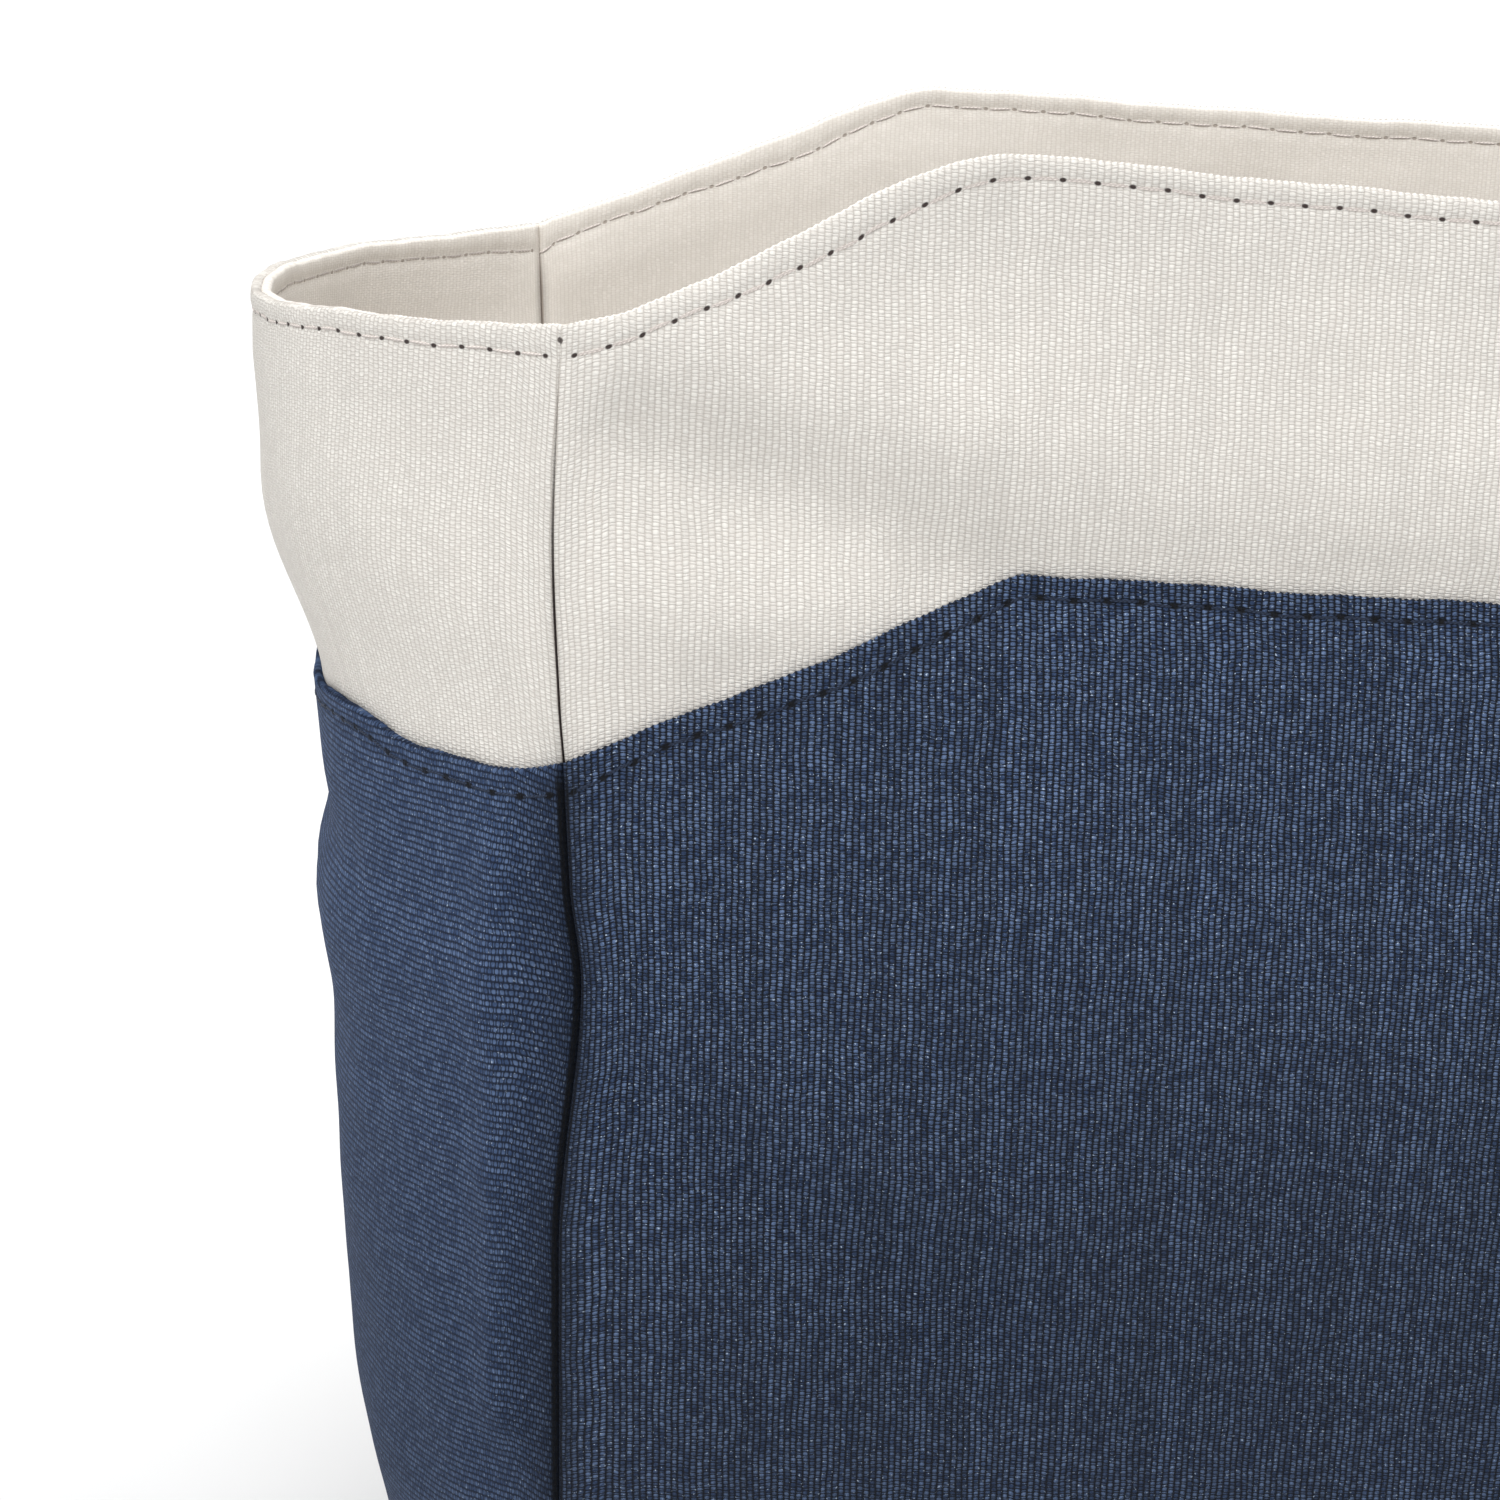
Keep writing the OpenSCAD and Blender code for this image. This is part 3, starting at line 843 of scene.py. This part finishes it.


def weave(nodes, u, v, rib):
    """Height from 0 to 1 of a weave of warp ribs over a low weft, and how near a point is to a pit."""
    column = nodes.math("FLOOR", nodes.math("DIVIDE", u, rib))
    across = nodes.math("SUBTRACT", nodes.math("FRACT", nodes.math("DIVIDE", u, rib)), 0.5)
    offset = nodes.math("MULTIPLY", nodes.math("FLOORED_MODULO", column, 2.0), 0.5)
    climb = nodes.math("ADD", nodes.math("DIVIDE", v, rib * FLOAT / RIB), offset)
    row = nodes.math("FLOOR", climb)
    up = nodes.math("ABSOLUTE", nodes.math("SUBTRACT", nodes.math("FRACT", climb), 0.5))
    rounded = nodes.math("COSINE", nodes.math("MULTIPLY", across, math.pi * 0.96))
    rounded = nodes.math("POWER", rounded, 0.6)
    warp = nodes.math("MULTIPLY", nodes.math("MINIMUM", up, WARP_SHARE), math.pi / 2 / WARP_SHARE)
    warp = nodes.math("POWER", nodes.math("COSINE", warp), 0.5)
    weft = nodes.math("MINIMUM", nodes.math("SUBTRACT", 0.5, up), WEFT_SHARE)
    weft = nodes.math("COSINE", nodes.math("MULTIPLY", weft, math.pi / 2 / WEFT_SHARE))
    weft = nodes.math("POWER", weft, 0.5)
    low = nodes.math("MULTIPLY", weft, nodes.math("MULTIPLY_ADD", rounded, 0.6, 0.22))
    height = nodes.math("MAXIMUM", nodes.math("MULTIPLY", warp, rounded), low)
    pit = nodes.math("MULTIPLY", nodes.math("SUBTRACT", 1.0, nodes.math("MAXIMUM", warp, weft)),
                     nodes.math("SUBTRACT", 1.0, rounded))
    thread = nodes.white(nodes.vector(column, 3.0))
    piece = nodes.white(nodes.vector(column, row, 7.0))
    return height, pit, thread, piece


def drifted(nodes, grain, u, v):
    """Grain coordinates whose threads run a little unevenly."""
    sideways = nodes.noise(grain, 0.14, 2.0)
    upwards = nodes.noise(nodes.vector(nodes.math("ADD", u, 50.0), v), 0.2, 2.0)
    u = nodes.math("ADD", u, nodes.math("MULTIPLY", nodes.math("SUBTRACT", sideways, 0.5), 0.8))
    v = nodes.math("ADD", v, nodes.math("MULTIPLY", nodes.math("SUBTRACT", upwards, 0.5), 1.2))
    return u, v


def needle_holes(nodes, run, below, size):
    """1 inside each needle hole of a row of stitches, 0 away from it."""
    along = nodes.math("SUBTRACT", nodes.math("FRACT", nodes.math("DIVIDE", run, STITCH)), 0.5)
    ahead = nodes.math("MULTIPLY", along, STITCH / size[0])
    aside = nodes.math("DIVIDE", below, size[1])
    away = nodes.math("ADD", nodes.math("MULTIPLY", ahead, ahead), nodes.math("MULTIPLY", aside, aside))
    return nodes.math("SUBTRACT", 1.0, nodes.step(0.35, 1.3, away))


def stretched(nodes, u, v, across, upwards, seed=0.0):
    return nodes.vector(nodes.math("MULTIPLY", u, across), nodes.math("MULTIPLY", v, upwards), seed)


def times(nodes, colour, value):
    return nodes.mix(1.0, colour, nodes.vector(value, value, value), "MULTIPLY")


def thread_colour(nodes, cloth, u, v, height, pit, thread, piece, fibre):
    """The weave's colour: painted shade between the ribs and in the pits, with uneven threads and pale
    flecks.
    """
    body = nodes.math("MULTIPLY_ADD", piece, 0.34, nodes.math("MULTIPLY", fibre, 0.8))
    tone = nodes.mix(nodes.step(0.30, 0.85, body), cloth.dark, cloth.light)
    slubs = nodes.math("MULTIPLY_ADD", nodes.math("SUBTRACT", thread, 0.5), cloth.thread_spread, 1.0)
    tone = times(nodes, tone, slubs)
    # painted shade between the ribs
    colour = nodes.mix(nodes.step(*cloth.gap_heights, height), cloth.gap, tone)
    some = nodes.step(0.42, 0.62, nodes.noise(stretched(nodes, u, v, 0.9, 0.9, 5.0), 1.0, 1.0))
    # painted shade in some of the pits
    colour = nodes.mix(nodes.math("MULTIPLY", some, nodes.step(0.25, 0.6, pit)), colour, cloth.pit)
    chance = nodes.noise(stretched(nodes, u, v, 2.6, 3.2, 9.0), 1.0, 1.0)
    shown = nodes.math("MULTIPLY", nodes.step(0.66, 0.74, chance), nodes.step(0.2, 0.6, height))
    return nodes.mix(nodes.math("MULTIPLY", shown, cloth.fleck_share), colour, cloth.fleck)


def seam_colour(nodes, cloth, colour, below, seam):
    """Paints shade on the cloth towards a corner seam, and a painted shadow in the seam's gap, which closes
    up at the folded edge.
    """
    opens = nodes.step(*cloth.seam_opens, below)
    # painted shade towards the seam
    shade = nodes.math("SUBTRACT", 1.0, nodes.step(0.0, cloth.seam_reach, seam))
    shade = nodes.math("MULTIPLY_ADD", nodes.math("MULTIPLY", shade, opens), -cloth.painted_seam_shade, 1.0)
    # a painted shadow in the seam's gap
    gap = nodes.math("SUBTRACT", 1.0, nodes.step(cloth.seam_gap * 0.6, cloth.seam_gap, seam))
    gap = nodes.math("MULTIPLY", gap, opens)
    if cloth.corner_gap:
        dot = nodes.math("MULTIPLY", corner_gap(nodes, below, seam), cloth.corner_gap)
        gap = nodes.math("MAXIMUM", gap, dot)
    return nodes.mix(gap, times(nodes, colour, shade), cloth.hole)


def corner_gap(nodes, below, seam):
    """1 in the small gap between two walls' folded edges, above the stitches, where a painted shadow goes,
    and 0 away from it.
    """
    aside = nodes.math("MULTIPLY", seam, 2.6)
    aloft = nodes.math("MULTIPLY_ADD", below, 2.6, 5.2)
    away = nodes.math("ADD", nodes.math("MULTIPLY", aside, aside), nodes.math("MULTIPLY", aloft, aloft))
    return nodes.math("SUBTRACT", 1.0, nodes.step(0.4, 1.3, away))


def canvas_material(cloth):
    nodes = Nodes(cloth.name)
    grain, (u, v, _) = nodes.attribute("grain")
    _, (run, below, seam) = nodes.attribute("sewn")
    # painted shade: the cloth is darker towards its foot, where less light reaches the wall
    foot = nodes.math("MULTIPLY_ADD", nodes.step(15.0, 95.0, below), -cloth.painted_foot_shade, 1.0)
    u, v = drifted(nodes, grain, u, v)
    height, pit, thread, piece = weave(nodes, u, v, cloth.rib)
    fibre = nodes.noise(stretched(nodes, u, v, 2.2, 5.6), 1.0, 3.0, 0.7)
    colour = thread_colour(nodes, cloth, u, v, height, pit, thread, piece, fibre)
    blotch = nodes.math("MULTIPLY_ADD", nodes.noise(grain, 0.045, 3.0), 0.08, 0.96)
    colour = times(nodes, colour, nodes.math("MULTIPLY", blotch, foot))
    hole = needle_holes(nodes, run, below, cloth.hole_size)
    # painted shade in the needle holes, the corner seams and the gap between the folded edges
    colour = nodes.mix(hole, seam_colour(nodes, cloth, colour, below, seam), cloth.hole)
    lift = nodes.math("MULTIPLY", height, nodes.math("MULTIPLY_ADD", piece, 0.3, 0.85))
    relief = nodes.math("MULTIPLY_ADD", fibre, 0.3, lift)
    relief = nodes.math("SUBTRACT", relief, nodes.math("MULTIPLY", hole, 1.6))
    rough = nodes.math("MULTIPLY_ADD", fibre, 0.22, 0.74)
    return nodes.finish(colour, rough, relief, cloth.relief, cloth.sheen, cloth.sheen_tint)


TWIST_PITCH = 0.55
PLIES = 2.0


def thread_material(name, dark, light):
    """Two-ply sewing thread: its twist runs round and along each stitch, with painted shade where the plies
    dip.
    """
    nodes = Nodes(name)
    grain, (run, turn, _) = nodes.attribute("grain")
    along = nodes.math("MULTIPLY", run, 2 * math.pi / TWIST_PITCH)
    twist = nodes.math("SINE", nodes.math("MULTIPLY_ADD", turn, PLIES, along))
    twist = nodes.math("MULTIPLY_ADD", twist, 0.5, 0.5)
    # painted shade: darker where the twist dips between the plies
    colour = nodes.mix(twist, dark, light)
    rough = nodes.math("MULTIPLY_ADD", nodes.noise(grain, 2.0, 2.0), 0.2, 0.5)
    return nodes.finish(colour, rough, twist, 0.06, 0.2, light)


def board_material():
    """Grey board of pulped fibre, with paler and darker specks."""
    nodes = Nodes("grey_board")
    place = nodes.add("ShaderNodeTexCoord").outputs["Object"]
    fibre = nodes.noise(place, 900.0, 4.0, 0.7)
    speck = nodes.step(0.62, 0.72, nodes.noise(place, 2600.0, 1.0))
    colour = nodes.mix(fibre, srgb(128, 122, 114), srgb(164, 157, 147))
    colour = nodes.mix(nodes.math("MULTIPLY", speck, 0.4), colour, srgb(96, 92, 88))
    rough = nodes.math("MULTIPLY_ADD", fibre, 0.2, 0.75)
    return nodes.finish(colour, rough, fibre, 0.08, 0.0, (1, 1, 1, 1))


def floor_material():
    """Smooth white studio floor."""
    nodes = Nodes("studio_floor")
    place = nodes.add("ShaderNodeTexCoord").outputs["Object"]
    mottle = nodes.noise(place, 3.0, 2.0)
    colour = nodes.mix(mottle, (0.77, 0.77, 0.77, 1), (0.79, 0.79, 0.79, 1))
    rough = nodes.math("MULTIPLY_ADD", mottle, 0.1, 0.8)
    return nodes.finish(colour, rough, None, 0.0, 0.0, (1, 1, 1, 1))


NAVY = Canvas(
    name="navy_canvas_weave", pit=srgb(2, 5, 11), gap=srgb(3, 8, 20), dark=srgb(26, 44, 74),
    light=srgb(92, 112, 146), fleck=srgb(176, 192, 212), fleck_share=0.8, gap_heights=(0.40, 0.86),
    relief=0.42, rib=RIB, sheen=0.14, sheen_tint=srgb(90, 115, 160), thread_spread=0.36,
    hole=srgb(2, 3, 6), hole_size=(0.85, 0.42), seam_gap=1.1, painted_seam_shade=0.5, seam_reach=5.0,
    seam_opens=(-5.0, 0.0), corner_gap=0.0, painted_foot_shade=0.32)
# The end walls' navy, cut crosswise. Its weave shows less, and its darker threads and gaps are painted
# paler than the front's: painted light, where the end walls catch more light.
NAVY_CROSSWISE = replace(
    NAVY, name="navy_canvas_crosswise", gap=srgb(16, 26, 46), dark=srgb(37, 56, 88),
    light=srgb(84, 104, 138), fleck_share=0.5, relief=0.2, thread_spread=0.16, seam_reach=11.0)
CREAM = Canvas(
    name="cream_canvas_weave", pit=srgb(120, 112, 106), gap=srgb(192, 186, 179), dark=srgb(208, 204, 198),
    light=srgb(222, 219, 213), fleck=srgb(238, 236, 232), fleck_share=0.5, gap_heights=(0.2, 0.75),
    relief=0.15, rib=RIB, sheen=0.05, sheen_tint=srgb(250, 247, 242), thread_spread=0.05,
    hole=srgb(62, 52, 50), hole_size=(0.42, 0.27), seam_gap=0.2, painted_seam_shade=0.16, seam_reach=1.6,
    seam_opens=(3.0, 30.0), corner_gap=0.9, painted_foot_shade=0.0)
# The lining: a finer cloth, painted paler than the cream band as painted light, standing in for the light
# that the inside of the bin lacks.
INSIDE = Canvas(
    name="lining_canvas_weave", pit=srgb(206, 198, 189), gap=srgb(221, 214, 206), dark=srgb(230, 225, 217),
    light=srgb(238, 233, 226), fleck=srgb(243, 239, 233), fleck_share=0.2, gap_heights=(0.15, 0.7),
    relief=0.035, rib=FINE_RIB, sheen=0.04, sheen_tint=srgb(250, 247, 242), thread_spread=0.02,
    hole=srgb(178, 168, 159), hole_size=(0.36, 0.24), seam_gap=0.3, painted_seam_shade=0.3, seam_reach=1.8,
    seam_opens=(-2.0, 6.0), corner_gap=0.0, painted_foot_shade=0.0)
PAD = Canvas(
    name="pad_cloth_weave", pit=srgb(162, 154, 146), gap=srgb(178, 172, 165), dark=srgb(194, 189, 182),
    light=srgb(207, 203, 198), fleck=srgb(216, 213, 209), fleck_share=0.2, gap_heights=(0.2, 0.7),
    relief=0.09, rib=FINE_RIB, sheen=0.05, sheen_tint=srgb(250, 247, 242), thread_spread=0.04,
    hole=srgb(110, 98, 92), hole_size=(0.4, 0.27), seam_gap=0.2, painted_seam_shade=0.1, seam_reach=1.0,
    seam_opens=(0.0, 1.0), corner_gap=0.0, painted_foot_shade=0.0)


# ---------------------------------------------------------------- putting it together
def dress(piece, material, nodes, body="bin"):
    """Gives a piece its material, and lets it stand for its CAD nodes on their body."""
    piece.data.materials.append(material)
    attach(piece, body)
    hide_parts(*nodes)
    return piece


def level_foot(height):
    """A straight, level edge at a height."""
    return lambda along: spread(height, along)


def cut_area(wall, foot, edge):
    """Width, height and area in metres of the flat piece that a layer of a wall was cut as."""
    along = np.linspace(-wall.reach, wall.reach, 400)
    heights = edge(along) - foot(along)
    area = np.sum((heights[1:] + heights[:-1]) / 2 * np.diff(along))
    return (2 * wall.reach * MM, float(np.max(heights)) * MM), float(area) * MM * MM


def build_wall(wall, cloths, threads):
    def tucked(along):
        return wall.hem(along) - TUCK

    floor, lined = level_foot(0.0), level_foot(SKIN[1])
    skin = wall_cloth(wall, SKIN_LAYER, floor, wall.hem, foot_roll=2.2)
    band = wall_cloth(wall, BAND_LAYER, tucked, wall.rim)
    lining = wall_cloth(wall, LINING_LAYER, lined, wall.rim)
    navy = cloths["navy" if wall.raised else "navy_crosswise"]
    dress(skin, navy, [f"outer_{wall.name}_panel"])
    dress(band, cloths["cream"], [f"band_{wall.name}"])
    dress(lining, cloths["inside"], [f"lining_{wall.name}"])
    hem_row = stitch_row(wall, SKIN_LAYER, wall.hem, wall.seed + 2)
    rim_row = stitch_row(wall, BAND_LAYER, wall.rim, wall.seed + 3)
    inner_row = stitch_row(wall, LINING_LAYER, wall.rim, wall.seed + 4)
    hem = stitches(f"hem_stitches_{wall.name}", [hem_row])
    rim = stitches(f"rim_stitches_{wall.name}", [rim_row, inner_row])
    dress(hem, threads["navy"], [f"hem_stitching_{wall.name}"])
    dress(rim, threads["cream"], [f"rim_stitching_{wall.name}"])
    for piece, foot, edge, sewn, on in (
        (skin, floor, wall.hem, [hem], ["skin_base"]),
        (band, tucked, wall.rim, [rim], [skin.name]),
        (lining, lined, wall.rim, [], [band.name, "inside_base"]),
    ):
        flat, area = cut_area(wall, foot, edge)


def build_floor(cloths):
    for name, node, depth, low, high, wide_at, cloth, slot in (
        ("skin_base", "outer_base", SKIN[1], 0.0, 1.2, 0.0, "navy", "navy_canvas"),
        ("inside_base", "lining_base", LINING[1], 1.2, 2.2, 2.2, "inside", "lining_canvas"),
    ):
        piece = floor_cloth(name, depth, low, high, wide_at)
        dress(piece, cloths[cloth], [node])


def build_pad(cloths):
    cover = pad_cover("pad_cover")
    dress(cover, cloths["pad"], ["pad_sleeve_top", "pad_sleeve_bottom"], "base_pad")
    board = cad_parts["base_board"]
    board.data.materials.clear()
    board.data.materials.append(board_material())


FLOOR_REACH = 20.0        # metres
WORLD_LIGHT = 0.35
SUNS = (                  # name, direction that it shines from, strength, width in degrees
    ("key", (-0.45, -0.9, 1.15), 2.25, 50),
    ("top", (0.05, -0.1, 1.0), 1.6, 50),
    ("side", (-1.0, 0.25, 0.5), 0.3, 60),
    ("fill", (0.9, -0.35, 0.9), 0.4, 60),
)
CAMERA_PLACE = (-157.0, -530.6, 249.4)
CAMERA_TURN = -5.05       # degrees to the left of straight ahead
CAMERA_DOWN = 12.66
CAMERA_ROLL = 3.57
CAMERA_LENS = 100.8


def build_studio():
    floor = bpy.data.meshes.new("studio_floor")
    corners = [(x * FLOOR_REACH, y * FLOOR_REACH, 0) for x, y in ((-1, -1), (1, -1), (1, 1), (-1, 1))]
    floor.from_pydata(corners, [], [(0, 1, 2, 3)])
    floor.materials.append(floor_material())
    ground = bpy.data.objects.new("studio_floor", floor)
    bpy.context.scene.collection.objects.link(ground)

    world = bpy.data.worlds.new("studio")
    world.use_nodes = True
    background = world.node_tree.nodes["Background"]
    background.inputs["Color"].default_value = (1, 1, 1, 1)
    background.inputs["Strength"].default_value = WORLD_LIGHT
    bpy.context.scene.world = world
    for lamp in SUNS:
        sun(*lamp)


def sun(name, direction, strength, width):
    """A soft light from far away."""
    light = bpy.data.lights.new(name, "SUN")
    light.energy, light.angle = strength, math.radians(width)
    lamp = bpy.data.objects.new(name, light)
    lamp.rotation_euler = Vector(direction).to_track_quat("Z", "Y").to_euler()
    bpy.context.scene.collection.objects.link(lamp)


def build_camera():
    """The photographer's eye: close to the front left corner, a little above the rim."""
    turn, down, roll = (math.radians(angle) for angle in (CAMERA_TURN, CAMERA_DOWN, CAMERA_ROLL))
    ahead = Vector((-math.sin(turn) * math.cos(down), math.cos(turn) * math.cos(down), -math.sin(down)))
    level = Vector((math.cos(turn), math.sin(turn), 0))
    upright = level.cross(ahead)
    right = level * math.cos(roll) + upright * math.sin(roll)
    up = upright * math.cos(roll) - level * math.sin(roll)
    lens = bpy.data.cameras.new("camera")
    lens.sensor_width, lens.lens = 36.0, CAMERA_LENS
    lens.clip_start, lens.clip_end = 0.01, 100
    camera = bpy.data.objects.new("camera", lens)
    facing = Matrix((right, up, -ahead)).transposed().to_4x4()
    camera.matrix_world = Matrix.Translation(Vector(CAMERA_PLACE) * MM) @ facing
    bpy.context.scene.collection.objects.link(camera)
    bpy.context.scene.camera = camera


def build():
    cloths = {
        "navy": canvas_material(NAVY),
        "navy_crosswise": canvas_material(NAVY_CROSSWISE),
        "cream": canvas_material(CREAM),
        "inside": canvas_material(INSIDE),
        "pad": canvas_material(PAD),
    }
    threads = {
        "navy": thread_material("navy_sewing_thread", srgb(20, 28, 44), srgb(44, 56, 78)),
        "cream": thread_material("cream_sewing_thread", srgb(200, 190, 184), srgb(232, 224, 218)),
    }
    build_studio()
    build_camera()
    build_floor(cloths)
    for wall in WALLS:
        build_wall(wall, cloths, threads)
    build_pad(cloths)
    bpy.context.scene.view_settings.view_transform = "Standard"


build()
